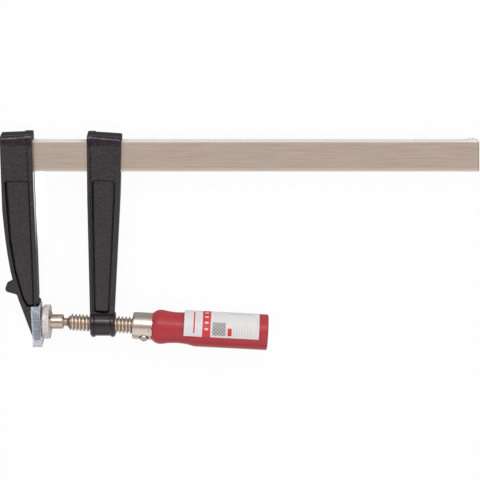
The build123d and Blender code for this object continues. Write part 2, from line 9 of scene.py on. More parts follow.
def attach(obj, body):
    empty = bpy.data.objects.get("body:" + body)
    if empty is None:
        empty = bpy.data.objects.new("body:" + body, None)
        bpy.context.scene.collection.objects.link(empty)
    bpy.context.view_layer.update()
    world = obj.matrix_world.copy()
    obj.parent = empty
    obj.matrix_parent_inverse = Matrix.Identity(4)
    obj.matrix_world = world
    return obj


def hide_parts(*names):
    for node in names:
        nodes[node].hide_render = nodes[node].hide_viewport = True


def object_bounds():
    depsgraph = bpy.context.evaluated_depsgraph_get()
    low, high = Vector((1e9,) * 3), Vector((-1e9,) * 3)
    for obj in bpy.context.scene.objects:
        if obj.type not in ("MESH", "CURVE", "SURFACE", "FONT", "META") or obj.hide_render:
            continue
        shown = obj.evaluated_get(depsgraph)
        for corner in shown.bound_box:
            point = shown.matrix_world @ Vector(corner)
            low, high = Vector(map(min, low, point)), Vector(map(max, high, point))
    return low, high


# A bar clamp lying on its side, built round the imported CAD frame. Metres, unless a name ends in _mm.
MM = 0.001

# The spindle's own line: it starts at the ball and leans away from the bar
LEAN = radians(3.3)
BALL_CENTRE = Vector((13.4 * MM, 0, 0))

# Camera, fitted to the photograph
CAMERA_PLACE = (0.1660, 0.5522, 1.104)
CAMERA_PITCH = radians(23.4)
CAMERA_LENS_mm = 110.25
CAMERA_SENSOR_mm = 36
CAMERA_SEES_TO = 20

# Spindle: distances along it from the ball, and radii
BALL_RADIUS = 4.2 * MM
BALL_STEPS = 14
NECK_RADIUS = 3.2 * MM
NECK_END = 8.0 * MM
CONE_END = 11.0 * MM
CREST_RADIUS = 7.0 * MM
ROOT_RADIUS = 5.25 * MM
THREAD_PITCH = 3.0 * MM
THREAD_END = 65.6 * MM
THREAD_STEP = 0.5 * MM
SPARE_TURNS = 2
TANG_RADIUS = 5.0 * MM
TANG_END = 145.0 * MM
SCREW_COLUMNS = 72

# Trapezoidal thread: half of its crest, its flank, how softly one turns into the other, and how far its
# dull roots, painted darker for shade, reach up
CREST_HALF = 0.55 * MM
FLANK = 0.47 * MM
SOFT = 0.14 * MM
SOFT_RUN = 0.3 * SOFT
SCREW_SHADED_BELOW_mm = 5.2

# Grip: distances along the spindle from the ball, with a radius beside some of them
NOSE_START = THREAD_END
NOSE_RADIUS = 9.6 * MM
SHOULDER = (79.2 * MM, 11.0 * MM)
BULGE = (86.0 * MM, 14.4 * MM)
BULGE_RISE_ARC = 8.5 * MM
BULGE_FALL_ARC = 16.8 * MM
WAIST_START = (89.4 * MM, 14.05 * MM)
WAIST_ARC = 54.0 * MM
COVE_END = 115.1 * MM
GRIP_RADIUS = 15.0 * MM
GRIP_END = 176.1 * MM
GRIP_EDGE = 1.2 * MM

# Ferrule and cross pin: the pin's own distances are from the spindle's line
FERRULE_RADIUS = 11.35 * MM
PIN_AT = 72.7 * MM
PIN_ANGLE = radians(36.6)
PIN_SHANK_RADIUS = 2.4 * MM
PIN_HEAD_RADIUS = 3.3 * MM
PIN_SEAT = 9.0 * MM
PIN_FLUSH = 10.8 * MM
PIN_TOP = 14.05 * MM
PIN_DOME = 2.2 * MM

# Painted shade in the seat round the pin's head: (millimetres from the pin's axis, darkness)
SHADE_RING_ROUND_PIN = ((3.0, 0), (3.4, 1), (4.05, 1), (4.3, 0))

# A punch mark on the ferrule, in the spindle's own frame
PUNCH_MARK_mm = (76.6, 0.87, 11.32)
PUNCH_RADIUS_mm = 0.5

# Lacquer that ran over the ferrule's end: a thin skin whose ragged edge follows a noise
RIM_COLUMNS = 96
RIM_THICKNESS = 0.14 * MM
RIM_EDGE_THICKNESS = 0.10 * MM
RIM_SUNK = 0.02 * MM
RIM_OVERLAP = 0.1 * MM
RIM_LEAST_RUN = 0.05 * MM
RIM_MOST_RUN = 2.4 * MM
RIM_WAVES = 3.2
RIM_NOISE_LEVEL = 0.5

# Label, as a sheet round the grip: distances along the spindle and angles from the top
LABEL_START = 105.8 * MM
LABEL_END = 168.4 * MM
LABEL_THICKNESS = 0.15 * MM
LABEL_GAP = 0.02 * MM
LABEL_FIRST_ANGLE = radians(1.2)
LABEL_LAST_ANGLE = radians(190.0)
LABEL_COLUMNS = 72
LABEL_ROWS = 24

# The label's blocks: near and far corner, along and across the sheet
RED_BAR_mm = ((7.8, 3.0), (9.0, 25.0))
LONG_RULE_mm = ((10.8, 9.0), (11.1, 21.0))
SHORT_RULE_mm = ((12.6, 12.0), (12.9, 19.0))
RED_BAND_mm = ((15.3, 0.0), (22.1, 60.0))
CHECKED_BLOCK_mm = ((23.8, 1.7), (34.7, 12.9))
RED_BLOCK_mm = ((36.4, 1.7), (39.8, 8.2))
THICK_RULE_mm = ((36.6, 23.2), (57.0, 24.6))
END_RULE_mm = ((60.9, 5.0), (61.2, 19.5))
CHECKS_PER_mm = 0.7

# Pale dashes across the red band, and a row of thin ticks of uneven length
DASHES = 4
DASH_START_mm, DASH_END_mm = 17.2, 20.2
DASH_FIRST_mm, DASH_PITCH_mm, DASH_WIDTH_mm = 6.0, 5.5, 1.6
TICKS = 7
TICK_START_mm, TICK_END_mm = 1.7, 11.0
TICK_FIRST_mm, TICK_PITCH_mm, TICK_WIDTH_mm = 41.2, 2.3, 0.32
TICK_LENGTHS = 3

# Fixed jaw's cap: where its plastic is thick
CAP_LEFT_BORDER_mm = -6.2
CAP_RIGHT_BORDER_mm = -0.9
CAP_SOLID_BELOW_mm = -13.6
CAP_TOP_RIB_mm = 13.1
CAP_RIB_PITCH_mm = 8.0
CAP_RIB_HALF_mm = 0.6
CAP_RIBS = 3

# Round cap of the swivel pad: distances from the fixed jaw's face
PAD_CAP_START = 1.2 * MM
PAD_CAP_END = 7.0 * MM
PAD_CAP_RADIUS = 14.3 * MM
PAD_CAP_FACE = 0.9 * MM
PAD_CAP_EDGE = 2.0 * MM
PAD_CAP_MOUTH = 12.3 * MM
PAD_DISC_RADIUS = 13.3 * MM
PAD_DISC_END = 4.5 * MM

# How much paler and less clear both caps' plastic is where it is milky
MILK_PALER = 1.08
MILK_LESS_CLEAR = 0.08

# Bar: its middle line, then heights from there, of the cut teeth and of the pale stretch on its low side
BAR_CENTRE_Y = 148.0 * MM
TOOTH_ROOT_mm = 12.0
TOOTH_BRIGHT_mm = 12.5
BAR_LOW_EDGE_mm = -13.0
BAR_PALE_TO_mm = -9.0

# Cast grain along an arm, from its jaw past the bar to the collar's top: (millimetres, strength)
GRAIN_ALONG_ARM = ((12, 0.01), (130, 1), (150, 1), (160, 0.25))
GRAIN_LOST_SIDEWAYS = 0.8

# What is cast and lies past this, along the bar, belongs to the sliding arm
SLIDING_ARM_FROM_mm = 20.0

# The trenches' painted shade fades out on their walls, between these heights. A left wall faces the bar's
# open end and lies left of a limit, which is further right on the sliding arm.
TRENCH_BELOW_mm = 3.35
PANEL_FROM_mm = 3.78
LEFT_WALL_BEFORE_mm = -10.0
SLIDING_WALL_SHIFT_mm = 60.0
WALL_FACING = 0.7

# The collars' faces curve gently down to their tops, half a millimetre lower on the sliding arm. The
# profile's points are (share of the length, share of the fall that is still to come).
CROWN_START_mm = 158.0
CROWN_LENGTH_mm = 9.0
CROWN_FALL_mm = 2.4
SLIDING_CROWN_DROP_mm = 0.5
CROWN_PROFILE = (
    (0, 1),
    (0.119, 0.945),
    (0.767, 0.1275),
    (0.822, 0.083),
    (0.878, 0.0275),
    (0.911, 0.0054),
    (0.939, 0),
    (1, 0.04),
)

# Above the boss the sliding arm's foot rises to meet it in a hollow, with painted shade between its two ends
HOLLOW_TOP_mm = 10.2
HOLLOW_LENGTH_mm = 3.0
HOLLOW_RISE_mm = 1.15
HOLLOW_SHADE = ((0, 0), (0.15, 1), (0.85, 1), (1, 0))

# Colours, as linear light
BLACK = (0.0, 0.0, 0.0)
WHITE = (1.0, 1.0, 1.0)
ENAMEL_DARK = (0.007, 0.0001, 0.005)
ENAMEL_SPECKLE_AND_GLINT = (0.024, 0.016, 0.021)
BAR_DARK = (0.48, 0.385, 0.33)
BAR_LIGHT = (0.66, 0.535, 0.46)
BAR_CLOUD = (0.55, 0.46, 0.41)
BAR_LOW_SIDE = (0.84, 0.78, 0.72)
BAR_TOOTH = (0.90, 0.85, 0.80)
PAD_DARK = (0.62, 0.50, 0.42)
PAD_LIGHT = (0.72, 0.59, 0.50)
RETAINER_DARK = (0.4, 0.4, 0.4)
RETAINER_LIGHT = (0.5, 0.5, 0.5)
PIN_DARK = (0.50, 0.43, 0.38)
PIN_LIGHT = (0.62, 0.54, 0.49)
FERRULE_DARK = (0.76, 0.65, 0.575)
FERRULE_LIGHT = (0.84, 0.73, 0.65)
SHADE_ROUND_PIN = (0.10, 0.075, 0.06)
PUNCHED = (0.12, 0.08, 0.07)
SCREW_ROOT = (0.47, 0.36, 0.28)
SCREW_CREST = (0.78, 0.65, 0.56)
SCREW_STAIN = (0.44, 0.35, 0.28)
JAW_CAP_TINT = (0.60, 0.68, 0.79)
JAW_CAP_THICK = (0.93, 0.96, 1.0)
JAW_CAP_SOLID = (0.87, 0.86, 0.91)
PAD_CAP_TINT = (1.0, 0.94, 0.96)
LACQUER_DARK = (0.42, 0.034, 0.046)
LACQUER_LIGHT = (0.49, 0.047, 0.060)
PAPER_DARK = (0.71, 0.70, 0.70)
PAPER_LIGHT = (0.76, 0.755, 0.75)
PRINT_GREY = (0.22, 0.21, 0.21)
PRINT_FAINT = (0.52, 0.51, 0.51)
PRINT_RED = (0.66, 0.035, 0.042)

# Floor: its glow along Y, and the bright strip beside the fixed arm, as (metres, strength or share)
FLOOR_GREY = (0.82, 0.82, 0.82)
FLOOR_SIZE = 6
FLOOR_GAP = 0.05 * MM
STAGE_MIDDLE = (0.15, 0.1)
FLOOR_GLOW = ((-0.04, 0.7), (0.0, 0.36))
STRIP_ACROSS = ((-0.003, 0), (-0.002, 1), (0.006, 1), (0.008, 0))
STRIP_ALONG = ((0.052, 0), (0.096, 1), (0.148, 1), (0.156, 0))
STRIP_STRENGTH = 2.6
SHOWN_TO_CAMERA = 0.96

# Sky round the bar's line: (degrees from straight up towards the bar's side, colour)
SKY = (
    (-90, (0.37, 0.36, 0.35)),
    (-74, (0.40, 0.39, 0.38)),
    (-58, (0.88, 0.86, 0.84)),
    (-30, (0.88, 0.86, 0.84)),
    (-4, (0.82, 0.81, 0.80)),
    (12, (0.28, 0.28, 0.28)),
    (24, (0.34, 0.34, 0.34)),
    (42, (0.85, 0.85, 0.85)),
    (74, (0.90, 0.91, 0.92)),
    (92, (0.45, 0.45, 0.45)),
)

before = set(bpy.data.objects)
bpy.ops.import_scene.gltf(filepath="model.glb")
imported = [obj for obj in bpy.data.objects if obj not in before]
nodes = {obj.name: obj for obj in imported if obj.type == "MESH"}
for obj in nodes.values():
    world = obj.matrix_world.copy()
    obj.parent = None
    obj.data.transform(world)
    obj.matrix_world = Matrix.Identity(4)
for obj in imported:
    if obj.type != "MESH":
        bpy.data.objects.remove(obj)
cad_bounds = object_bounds()


# Mesh helpers


def spindle_matrix():
    """From the spindle's own frame, X along it from the ball, to the row frame."""
    return Matrix.Translation(BALL_CENTRE) @ Matrix.Rotation(-LEAN, 4, "Z")


def arc(start, end, radius, count=12):
    """Points along the arc from start to end; it bulges away from the axis, or towards it if radius < 0."""
    start, end = Vector(start), Vector(end)
    chord = end - start
    outward = Vector((-chord.y, chord.x)).normalized()
    depth = sqrt(radius * radius - chord.length_squared / 4)
    centre = (start + end) / 2 - outward * (depth if radius > 0 else -depth)
    first, last = start - centre, end - centre
    turn = atan2(first.x * last.y - first.y * last.x, first.dot(last))
    points = []
    for step in range(count + 1):
        spoke = Matrix.Rotation(turn * step / count, 2) @ first
        points.append(tuple(centre + spoke))
    return points


def ring_point(build, along, radius, column, columns):
    """A new point in that column of a ring round X."""
    angle = 2 * pi * column / columns
    return build.verts.new((along, radius * cos(angle), radius * sin(angle)))


def join_rings(build, rings, closed=False):
    """Faces from each ring to the next one, and from the last to the first if closed."""
    pairs = list(zip(rings, rings[1:]))
    if closed:
        pairs.append((rings[-1], rings[0]))
    for low, high in pairs:
        for column in range(len(low)):
            after = (column + 1) % len(low)
            build.faces.new((low[column], low[after], high[after], high[column]))


def lathe(build, points, columns, closed=False):
    """Adds a surface turned round X through (distance, radius) points."""
    rings = []
    for along, radius in points:
        rings.append([ring_point(build, along, radius, column, columns) for column in range(columns)])
    join_rings(build, rings, closed)


def finish_mesh(build, name, place):
    """Joins what touches, moves it to its place and makes the mesh."""
    bmesh.ops.remove_doubles(build, verts=build.verts, dist=0.002 * MM)
    bmesh.ops.dissolve_degenerate(build, edges=build.edges, dist=0.001 * MM)
    bmesh.ops.recalc_face_normals(build, faces=build.faces)
    build.transform(place)
    mesh = bpy.data.meshes.new(name)
    build.to_mesh(mesh)
    build.free()
    return mesh


def new_object(name, mesh, body, sharp_angle=35):
    """A smooth-shaded piece in the scene that rides on a body."""
    mesh.shade_smooth()
    mesh.set_sharp_from_angle(angle=radians(sharp_angle))
    piece = bpy.data.objects.new(name, mesh)
    bpy.context.scene.collection.objects.link(piece)
    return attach(piece, body)


def turned_piece(name, points, place, body, closed=False, columns=96):
    """A lathed piece that rides on a body."""
    build = bmesh.new()
    lathe(build, points, columns, closed)
    return new_object(name, finish_mesh(build, name, place), body)


# Shader helpers


def feed(tree, socket, value):
    """Links an output to the input socket, or sets the socket; a colour is three numbers."""
    if isinstance(value, bpy.types.NodeSocket):
        tree.links.new(value, socket)
    elif socket.type == "RGBA":
        socket.default_value = (*value, 1)
    else:
        socket.default_value = value


def new_material(name):
    """A plain node material, its node tree and its main shader."""
    material = bpy.data.materials.new(name)
    material.use_nodes = True
    tree = material.node_tree
    return material, tree, tree.nodes["Principled BSDF"]


def add(tree, kind, inputs=None, **settings):
    """A node with its settings; each input is linked or given a value."""
    item = tree.nodes.new(kind)
    for name, value in settings.items():
        setattr(item, name, value)
    for name, value in (inputs or {}).items():
        feed(tree, item.inputs[name], value)
    return item


def compute(tree, operation, a, b=0.0, c=0.0, clamp=False):
    """The result of a math node; c counts only where the operation takes three values."""
    item = add(tree, "ShaderNodeMath", {0: a, 1: b, 2: c}, operation=operation, use_clamp=clamp)
    return item.outputs[0]


def distance(tree, a, b):
    """The length of the hypotenuse over a and b."""
    squares = compute(tree, "ADD", compute(tree, "MULTIPLY", a, a), compute(tree, "MULTIPLY", b, b))
    return compute(tree, "SQRT", squares)


def parts(tree, vector):
    """The X, Y and Z of a vector."""
    return add(tree, "ShaderNodeSeparateXYZ", {0: vector}).outputs


def mix(tree, factor, a, b):
    """A colour between a and b."""
    item = add(tree, "ShaderNodeMix", data_type="RGBA")
    for socket, value in zip((item.inputs[0], item.inputs[6], item.inputs[7]), (factor, a, b)):
        feed(tree, socket, value)
    return item.outputs[2]


def ramp(tree, share, *stops):
    """A ramp through stops of (share, grey or colour)."""
    item = add(tree, "ShaderNodeValToRGB", {"Fac": share})
    elements = item.color_ramp.elements
    while len(elements) < len(stops):
        elements.new(0.5)
    for element, (place, colour) in zip(elements, stops):
        element.position = place
        grey = isinstance(colour, (int, float))
        element.color = (colour, colour, colour, 1) if grey else (*colour, 1)
    return item.outputs["Color"]


def spread(tree, noise, low, high, start=0.3, end=0.7):
    """A value that goes from low to high while the noise goes from start to end."""
    return ramp(tree, noise, (start, low), (end, high))


def profile(tree, place, *stops):
    """A ramp whose stops are (place, grey), in the place's own unit."""
    first, last = stops[0][0], stops[-1][0]
    share = compute(tree, "DIVIDE", compute(tree, "SUBTRACT", place, first), last - first)
    return ramp(tree, share, *[((stop - first) / (last - first), grey) for stop, grey in stops])


def millimetres(tree, scale=(1, 1, 1), turn=0.0, shift=(0, 0, 0)):
    """The piece's own coordinates in millimetres, turned about Z and then scaled."""
    place = add(tree, "ShaderNodeTexCoord").outputs["Object"]
    moved = add(tree, "ShaderNodeVectorMath", {0: place, 1: shift}, operation="SUBTRACT").outputs[0]
    turned = add(tree, "ShaderNodeVectorRotate", {"Vector": moved, "Angle": turn}, rotation_type="Z_AXIS")
    size = [s / MM for s in scale]
    return add(tree, "ShaderNodeVectorMath", {0: turned.outputs[0], 1: size}, operation="MULTIPLY").outputs[0]


def along_spindle(tree, scale=(1, 1, 1)):
    """Millimetres in the spindle's own frame."""
    return millimetres(tree, scale, turn=LEAN, shift=BALL_CENTRE)


def noise_texture(tree, vector, scale=1.0, detail=4.0, roughness=0.55, distortion=0.0):
    """A noise about one half; scale is its cells per unit of the vector."""
    inputs = {"Vector": vector, "Scale": scale, "Detail": detail, "Roughness": roughness}
    inputs["Distortion"] = distortion
    return add(tree, "ShaderNodeTexNoise", inputs).outputs["Fac"]


def bump(tree, height, depth_mm, under=None):
    """A bump of that depth in millimetres for heights from 0 to 1, over another one if there is one."""
    inputs = {"Height": height, "Distance": depth_mm * MM, "Strength": 1.0}
    if under:
        inputs["Normal"] = under
    return add(tree, "ShaderNodeBump", inputs).outputs[0]


def finish_shader(tree, shader, **inputs):
    """Links or sets the main shader's inputs, with _ for a space in their names."""
    for name, value in inputs.items():
        feed(tree, shader.inputs[name.replace("_", " ")], value)


def reopen(material):
    """A finished material's node tree, its main shader and what feeds its base colour."""
    tree = material.node_tree
    shader = tree.nodes["Principled BSDF"]
    return tree, shader, shader.inputs["Base Color"].links[0].from_socket


# Materials


def cast_grain(tree, pebbles, height, facing):
    """Pebbles about zero: full at the bar, faint at the jaws and weaker on faces that look sideways."""
    strength = profile(tree, height, *GRAIN_ALONG_ARM)
    lost = compute(tree, "MULTIPLY", compute(tree, "ABSOLUTE", facing), GRAIN_LOST_SIDEWAYS)
    strength = compute(tree, "MULTIPLY", strength, compute(tree, "SUBTRACT", 1.0, lost))
    return compute(tree, "MULTIPLY", compute(tree, "SUBTRACT", pebbles, 0.5), strength)


def trench_shade(tree, axes, facing, on_sliding_arm):
    """1 on the floors and left walls of the arms' trenches, where shade is painted; 0 on the faces."""
    floors = profile(tree, compute(tree, "ABSOLUTE", axes[2]), (TRENCH_BELOW_mm, 1), (PANEL_FROM_mm, 0))
    limit = compute(tree, "MULTIPLY_ADD", on_sliding_arm, SLIDING_WALL_SHIFT_mm, LEFT_WALL_BEFORE_mm)
    on_left = compute(tree, "LESS_THAN", axes[0], limit)
    left_walls = compute(tree, "MULTIPLY", compute(tree, "GREATER_THAN", facing, WALL_FACING), on_left)
    return compute(tree, "MAXIMUM", floors, left_walls)


def hollow_height(tree, height, on_sliding_arm):
    """From 0 at the top of the sliding arm's hollow to 1 at the boss."""
    below_top = compute(tree, "SUBTRACT", HOLLOW_TOP_mm, height)
    rise = compute(tree, "DIVIDE", below_top, HOLLOW_LENGTH_mm, clamp=True)
    return compute(tree, "MULTIPLY", rise, on_sliding_arm)


def crown_height(tree, height, on_sliding_arm):
    """From 1 where a collar's face starts to curve down to 0 near its top."""
    level = compute(tree, "MULTIPLY_ADD", on_sliding_arm, SLIDING_CROWN_DROP_mm, height)
    stops = [(CROWN_START_mm + share * CROWN_LENGTH_mm, left) for share, left in CROWN_PROFILE]
    return profile(tree, level, *stops)


def cast_paint():
    """Black enamel over a sand-cast surface: fine pebbles and slow waves, with painted shade in the trenches
    and the hollow above the boss.
    """
    material, tree, shader = new_material("cast_paint")
    place = millimetres(tree)
    axes = parts(tree, place)
    facing = parts(tree, add(tree, "ShaderNodeTexCoord").outputs["Normal"])[0]
    on_sliding_arm = compute(tree, "GREATER_THAN", axes[0], SLIDING_ARM_FROM_mm)
    pebbles = noise_texture(tree, place, scale=0.6, detail=1.5, roughness=0.5)
    waves = noise_texture(tree, place, scale=0.12, detail=2.0)
    grain = cast_grain(tree, pebbles, axes[1], facing)
    trench = trench_shade(tree, axes, facing, on_sliding_arm)
    hollow = hollow_height(tree, axes[1], on_sliding_arm)
    crown = crown_height(tree, axes[1], on_sliding_arm)
    # Lighter on the pebbles' tops: random tone that also serves as painted glints
    colour = mix(tree, spread(tree, pebbles, 0, 1, start=0.42, end=0.60), ENAMEL_DARK, ENAMEL_SPECKLE_AND_GLINT)
    # Painted shade in the trenches and in the hollow above the boss
    shade = compute(tree, "MAXIMUM", trench, ramp(tree, hollow, *HOLLOW_SHADE))
    colour = mix(tree, shade, colour, BLACK)
    gloss = spread(tree, compute(tree, "ABSOLUTE", grain), 0.22, 0.32, start=0, end=0.12)
    gloss = compute(tree, "MAXIMUM", gloss, compute(tree, "MULTIPLY", trench, 0.5))
    normal = bump(tree, grain, depth_mm=1.0)
    normal = bump(tree, waves, depth_mm=0.12, under=normal)
    normal = bump(tree, crown, CROWN_FALL_mm, under=normal)
    normal = bump(tree, hollow, HOLLOW_RISE_mm, under=normal)
    finish_shader(tree, shader, Base_Color=colour, Roughness=gloss, Normal=normal, Specular_IOR_Level=0.64)
    return material


def bar_steel():
    """Drawn steel, brushed along its length, with slow wavy streaks; the cut teeth are matt, and their pale
    colour is a painted reflection.
    """
    material, tree, shader = new_material("bar_steel")
    streaks = noise_texture(tree, millimetres(tree, scale=(0.03, 0.7, 0.7)), distortion=0.2)
    hairs = noise_texture(tree, millimetres(tree, scale=(0.12, 3.0, 3.0)), detail=3.0)
    clouds = noise_texture(tree, millimetres(tree, scale=(0.03, 0.10, 0.10)), detail=3.0)
    height = parts(tree, millimetres(tree, shift=(0, BAR_CENTRE_Y, 0)))[1]
    from_middle = compute(tree, "ABSOLUTE", height)
    teeth = profile(tree, from_middle, (TOOTH_ROOT_mm, 0), (TOOTH_BRIGHT_mm, 1))
    low_side = profile(tree, height, (BAR_LOW_EDGE_mm, 0.7), (BAR_PALE_TO_mm, 0))
    brushed = compute(tree, "MULTIPLY", compute(tree, "ADD", streaks, hairs), 0.5)
    base = mix(tree, spread(tree, brushed, 0, 1, start=0.36, end=0.64), BAR_DARK, BAR_LIGHT)
    base = mix(tree, spread(tree, clouds, 0, 0.45, start=0.45), base, BAR_CLOUD)
    base = mix(tree, low_side, base, BAR_LOW_SIDE)
    # The teeth's pale colour is a painted reflection along the toothed edges
    base = mix(tree, teeth, base, BAR_TOOTH)
    metal = compute(tree, "SUBTRACT", 1.0, compute(tree, "MULTIPLY", teeth, 0.75))
    gloss = spread(tree, hairs, 0.32, 0.44)
    normal = bump(tree, hairs, depth_mm=0.012, under=bump(tree, streaks, depth_mm=0.03))
    finish_shader(tree, shader, Base_Color=base, Metallic=metal, Roughness=gloss, Normal=normal)
    return material


def turned_metal(name, dark, light, rough, ring_depth_mm=0.006):
    """Plated steel with the fine rings that turning leaves."""
    material, tree, shader = new_material(name)
    rings = noise_texture(tree, along_spindle(tree, scale=(3.0, 0.05, 0.05)))
    blotches = noise_texture(tree, along_spindle(tree, scale=(0.25, 0.25, 0.25)), detail=3.0)
    colour = mix(tree, spread(tree, blotches, 0, 1), dark, light)
    gloss = spread(tree, rings, rough * 0.85, rough * 1.2)
    normal = bump(tree, rings, ring_depth_mm)
    finish_shader(tree, shader, Base_Color=colour, Metallic=1.0, Roughness=gloss, Normal=normal)
    return material


def ferrule_steel():
    """Plated ferrule: painted shade in the ring round the pin's head, and a punch mark."""
    material = turned_metal("ferrule_steel", FERRULE_DARK, FERRULE_LIGHT, rough=0.25, ring_depth_mm=0.003)
    tree, shader, plain = reopen(material)
    place = along_spindle(tree)
    axes = parts(tree, place)
    along = compute(tree, "SUBTRACT", axes[0], PIN_AT / MM)
    across = compute(tree, "MULTIPLY", axes[2], sin(PIN_ANGLE))
    across = compute(tree, "MULTIPLY_ADD", axes[1], cos(PIN_ANGLE), across)
    in_front = compute(tree, "GREATER_THAN", axes[2], 0.0)
    # Painted shade in the pin's seat, only where the ferrule faces up
    shade_round_pin = profile(tree, distance(tree, along, across), *SHADE_RING_ROUND_PIN)
    colour = mix(tree, compute(tree, "MULTIPLY", shade_round_pin, in_front), plain, SHADE_ROUND_PIN)
    to_punch = add(tree, "ShaderNodeVectorMath", {0: place, 1: PUNCH_MARK_mm}, operation="DISTANCE")
    dot = compute(tree, "LESS_THAN", to_punch.outputs["Value"], PUNCH_RADIUS_mm)
    colour = mix(tree, dot, colour, PUNCHED)
    finish_shader(tree, shader, Base_Color=colour)
    return material


def screw_steel():
    """The thread: crests painted lighter as a highlight, and dull roots painted darker for shade."""
    material, tree, shader = new_material("screw_steel")
    place = along_spindle(tree)
    axes = parts(tree, place)
    radius = distance(tree, axes[1], axes[2])
    height = profile(tree, radius, (SCREW_SHADED_BELOW_mm, 0), (CREST_RADIUS / MM, 1))
    stains = noise_texture(tree, place, scale=0.9)
    # Lighter crests and darker roots: a painted highlight and painted shade
    colour = mix(tree, height, SCREW_ROOT, SCREW_CREST)
    colour = mix(tree, spread(tree, stains, 0, 0.35, start=0.5, end=0.8), colour, SCREW_STAIN)
    gloss = compute(tree, "SUBTRACT", 0.5, compute(tree, "MULTIPLY", height, 0.08))
    normal = bump(tree, stains, depth_mm=0.02)
    finish_shader(tree, shader, Base_Color=colour, Metallic=1.0, Roughness=gloss, Normal=normal)
    return material


def cap_plastic(name, tint, clearness):
    """Soft translucent plastic, slightly milky."""
    material, tree, shader = new_material(name)
    milk = noise_texture(tree, millimetres(tree), scale=0.15, detail=2.0)
    paler = [min(1.0, part * MILK_PALER) for part in tint]
    colour = mix(tree, spread(tree, milk, 0, 1), tint, paler)
    clear = spread(tree, milk, clearness, clearness - MILK_LESS_CLEAR)
    gloss = spread(tree, milk, 0.26, 0.34)
    finish_shader(tree, shader, Base_Color=colour, Roughness=gloss, Transmission_Weight=clear, IOR=1.3)
    return material


def ribbed_cap_plastic():
    """The same plastic on the fixed jaw, paler where its ribs, borders and solid foot are thick."""
    material = cap_plastic("fixed_cap_plastic", JAW_CAP_TINT, clearness=0.60)
    tree, shader, plain = reopen(material)
    axes = parts(tree, millimetres(tree))
    solid = compute(tree, "LESS_THAN", axes[1], CAP_SOLID_BELOW_mm)
    thick = compute(tree, "LESS_THAN", axes[0], CAP_LEFT_BORDER_mm)
    thick = compute(tree, "MAXIMUM", thick, compute(tree, "GREATER_THAN", axes[0], CAP_RIGHT_BORDER_mm))
    for step in range(CAP_RIBS):
        centre = CAP_TOP_RIB_mm - step * CAP_RIB_PITCH_mm
        rib = compute(tree, "COMPARE", axes[1], centre, CAP_RIB_HALF_mm)
        thick = compute(tree, "MAXIMUM", thick, rib)
    colour = mix(tree, thick, plain, JAW_CAP_THICK)
    colour = mix(tree, solid, colour, JAW_CAP_SOLID)
    finish_shader(tree, shader, Base_Color=colour)
    return material


def red_lacquer():
    """Glossy red lacquer over turned wood, whose grain runs along the grip."""
    material, tree, shader = new_material("red_lacquer")
    grain = noise_texture(tree, along_spindle(tree, scale=(0.03, 0.8, 0.8)), detail=5.0, distortion=0.6)
    orange_peel = noise_texture(tree, along_spindle(tree, scale=(0.5, 0.5, 0.5)), detail=2.0)
    colour = mix(tree, spread(tree, grain, 0, 1), LACQUER_DARK, LACQUER_LIGHT)
    gloss = spread(tree, orange_peel, 0.26, 0.38)
    normal = bump(tree, grain, depth_mm=0.03, under=bump(tree, orange_peel, depth_mm=0.06))
    finish_shader(tree, shader, Base_Color=colour, Roughness=gloss, Normal=normal, Specular_IOR_Level=0.32)
    return material


def label_blocks(checks):
    """The label's blocks in the order of printing: (near corner, far corner, ink)."""
    blocks = [
        (*RED_BAR_mm, PRINT_RED),
        (*LONG_RULE_mm, PRINT_FAINT),
        (*SHORT_RULE_mm, PRINT_FAINT),
        (*RED_BAND_mm, PRINT_RED),
        (*CHECKED_BLOCK_mm, checks),
        (*RED_BLOCK_mm, PRINT_RED),
        (*THICK_RULE_mm, PRINT_FAINT),
        (*END_RULE_mm, PRINT_FAINT),
    ]
    for step in range(DASHES):
        first = DASH_FIRST_mm + step * DASH_PITCH_mm
        blocks.append(((DASH_START_mm, first), (DASH_END_mm, first + DASH_WIDTH_mm), PAPER_DARK))
    for step in range(TICKS):
        first = TICK_FIRST_mm + step * TICK_PITCH_mm
        end = TICK_END_mm + step % TICK_LENGTHS
        blocks.append(((first, TICK_START_mm), (first + TICK_WIDTH_mm, end), PRINT_FAINT))
    return blocks


def label_paper():
    """White paper with a red band, plain rules and a grey block, laid out in the sheet's own millimetres."""
    material, tree, shader = new_material("label_paper")
    sheet = add(tree, "ShaderNodeUVMap", uv_map="sheet").outputs[0]
    axes = parts(tree, sheet)

    def between(value, low, high):
        """1 where the value lies between low and high."""
        half = (high - low) / 2
        return compute(tree, "COMPARE", value, low + half, half)

    fibres = noise_texture(tree, along_spindle(tree), scale=2.2)
    pattern = {"Vector": sheet, "Scale": CHECKS_PER_mm, "Color1": PRINT_GREY, "Color2": PRINT_FAINT}
    checks = add(tree, "ShaderNodeTexChecker", pattern).outputs[0]
    colour = mix(tree, spread(tree, fibres, 0, 1), PAPER_DARK, PAPER_LIGHT)
    for low, high, ink in label_blocks(checks):
        along, across = between(axes[0], low[0], high[0]), between(axes[1], low[1], high[1])
        colour = mix(tree, compute(tree, "MULTIPLY", along, across), colour, ink)
    finish_shader(tree, shader, Base_Color=colour, Roughness=0.5, Normal=bump(tree, fibres, depth_mm=0.012))
    return material


# Pieces


